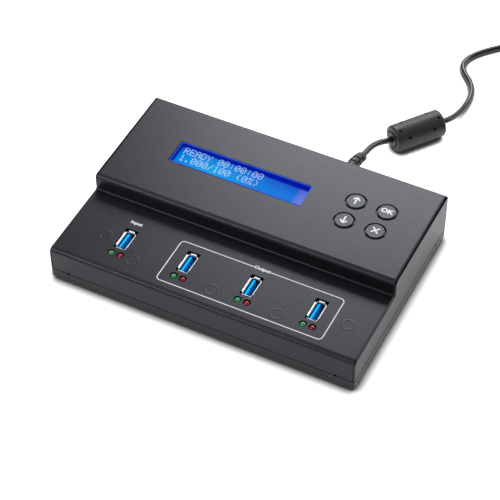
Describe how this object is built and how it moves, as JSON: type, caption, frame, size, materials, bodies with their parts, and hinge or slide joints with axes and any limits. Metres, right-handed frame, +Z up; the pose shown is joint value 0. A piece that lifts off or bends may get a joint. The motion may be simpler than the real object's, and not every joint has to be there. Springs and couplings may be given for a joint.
{
  "type": "usb flash drive duplicator",
  "caption": "Low stepped sheet-steel case with upright USB-A sockets and lamps in its front deck, a character display and push buttons above, and a coiled power lead to a wall adapter.",
  "frame": {"origin": "bottom centre of the case, on the surface that its rubber feet stand on", "axes": "+X to the right along the case's long side, +Y to the back where the power lead leaves, +Z up"},
  "size_m": [0.2554, 0.3062, 0.042],
  "materials": {
    "powder_coat": "fine-textured satin black powder coat on sheet steel",
    "foot_rubber": "matt black rubber",
    "screw_steel": "zinc-plated steel",
    "circuit_board": "green solder mask on glass-fibre board",
    "bright_tin": "bright tin-plated steel",
    "blue_tongue": "cyan-blue moulded insulator",
    "green_lamp": "tinted clear epoxy, green",
    "red_lamp": "tinted clear epoxy, red",
    "display_glass": "blue negative character display behind polarised glass",
    "diffuser": "milky light diffuser",
    "black_plastic": "black moulded plastic",
    "key_cap": "dark grey moulded cap with a print",
    "cord_jacket": "soft black PVC with a slight sheen",
    "flat_cable": "grey ribbon cable"
  },
  "bodies": {
    "case": {"top_cover": "powder_coat", "bottom_tray": "powder_coat", "rubber_foot_1": "foot_rubber", "rubber_foot_2": "foot_rubber", "rubber_foot_3": "foot_rubber", "rubber_foot_4": "foot_rubber", "case_screw_1": "screw_steel", "case_screw_2": "screw_steel", "case_screw_3": "screw_steel", "case_screw_4": "screw_steel", "port_board": "circuit_board", "usb_shell_source": "bright_tin", "usb_shell_target_1": "bright_tin", "usb_shell_target_2": "bright_tin", "usb_shell_target_3": "bright_tin", "usb_insulator_source": "blue_tongue", "usb_insulator_target_1": "blue_tongue", "usb_insulator_target_2": "blue_tongue", "usb_insulator_target_3": "blue_tongue", "green_lamp_source": "green_lamp", "green_lamp_target_1": "green_lamp", "green_lamp_target_2": "green_lamp", "green_lamp_target_3": "green_lamp", "red_lamp_source": "red_lamp", "red_lamp_target_1": "red_lamp", "red_lamp_target_2": "red_lamp", "red_lamp_target_3": "red_lamp", "display_board": "circuit_board", "display_bezel": "black_plastic", "display_glass": "display_glass", "display_backlight": "diffuser", "key_board": "circuit_board", "switch_body_up": "black_plastic", "switch_body_ok": "black_plastic", "switch_body_down": "black_plastic", "switch_body_cancel": "black_plastic", "main_board": "circuit_board", "controller_chip": "black_plastic", "bulk_capacitor": "bright_tin", "dc_socket": "black_plastic", "display_cable": "flat_cable", "key_cable": "flat_cable", "port_cable": "flat_cable", "dc_plug_barrel": "bright_tin", "dc_plug": "cord_jacket", "ferrite_choke": "cord_jacket", "cord_lead": "cord_jacket", "cord_run": "cord_jacket", "cord_coil": "cord_jacket", "cord_tail": "cord_jacket", "cable_tie": "black_plastic", "wall_adapter": "cord_jacket"},
    "up_button": {"button_cap_up": "key_cap", "switch_plunger_up": "black_plastic"},
    "ok_button": {"button_cap_ok": "key_cap", "switch_plunger_ok": "black_plastic"},
    "down_button": {"button_cap_down": "key_cap", "switch_plunger_down": "black_plastic"},
    "cancel_button": {"button_cap_cancel": "key_cap", "switch_plunger_cancel": "black_plastic"}
  },
  "joints": [
    {"name": "up_press", "type": "slide", "parent": "case", "child": "up_button", "axis": [0, 0, -1], "range_m": [0, 0.00035], "stiffness_N_per_m": 800},
    {"name": "ok_press", "type": "slide", "parent": "case", "child": "ok_button", "axis": [0, 0, -1], "range_m": [0, 0.00035], "stiffness_N_per_m": 800},
    {"name": "down_press", "type": "slide", "parent": "case", "child": "down_button", "axis": [0, 0, -1], "range_m": [0, 0.00035], "stiffness_N_per_m": 800},
    {"name": "cancel_press", "type": "slide", "parent": "case", "child": "cancel_button", "axis": [0, 0, -1], "range_m": [0, 0.00035], "stiffness_N_per_m": 800}
  ]
}
